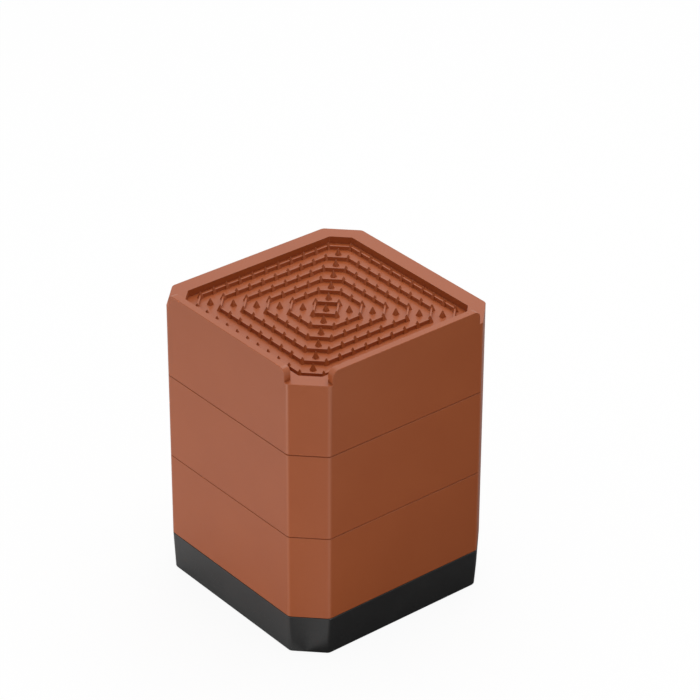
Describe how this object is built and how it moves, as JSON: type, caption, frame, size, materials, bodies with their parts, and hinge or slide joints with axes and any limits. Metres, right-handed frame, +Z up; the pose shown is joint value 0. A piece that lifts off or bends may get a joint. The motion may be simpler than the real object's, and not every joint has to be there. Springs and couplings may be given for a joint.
{
  "type": "bed riser",
  "caption": "Octagonal bed riser of stacked hollow blocks on a rubber foot, with a sunk tray of ringed ridges and points on top and raised lips on adjoining sides that keep a leg in place.",
  "frame": {"origin": "middle of the footprint, on the floor", "axes": "+Z up, towards the tray; the lips stand on the -Y and +X sides"},
  "size_m": [0.1346, 0.1346, 0.1756],
  "materials": {
    "terracotta_plastic": "fine satin grain",
    "black_rubber": "matt"
  },
  "bodies": {
    "root": {"top_block": "terracotta_plastic", "middle_block": "terracotta_plastic", "lower_block": "terracotta_plastic", "rubber_foot": "black_rubber"}
  },
  "joints": []
}
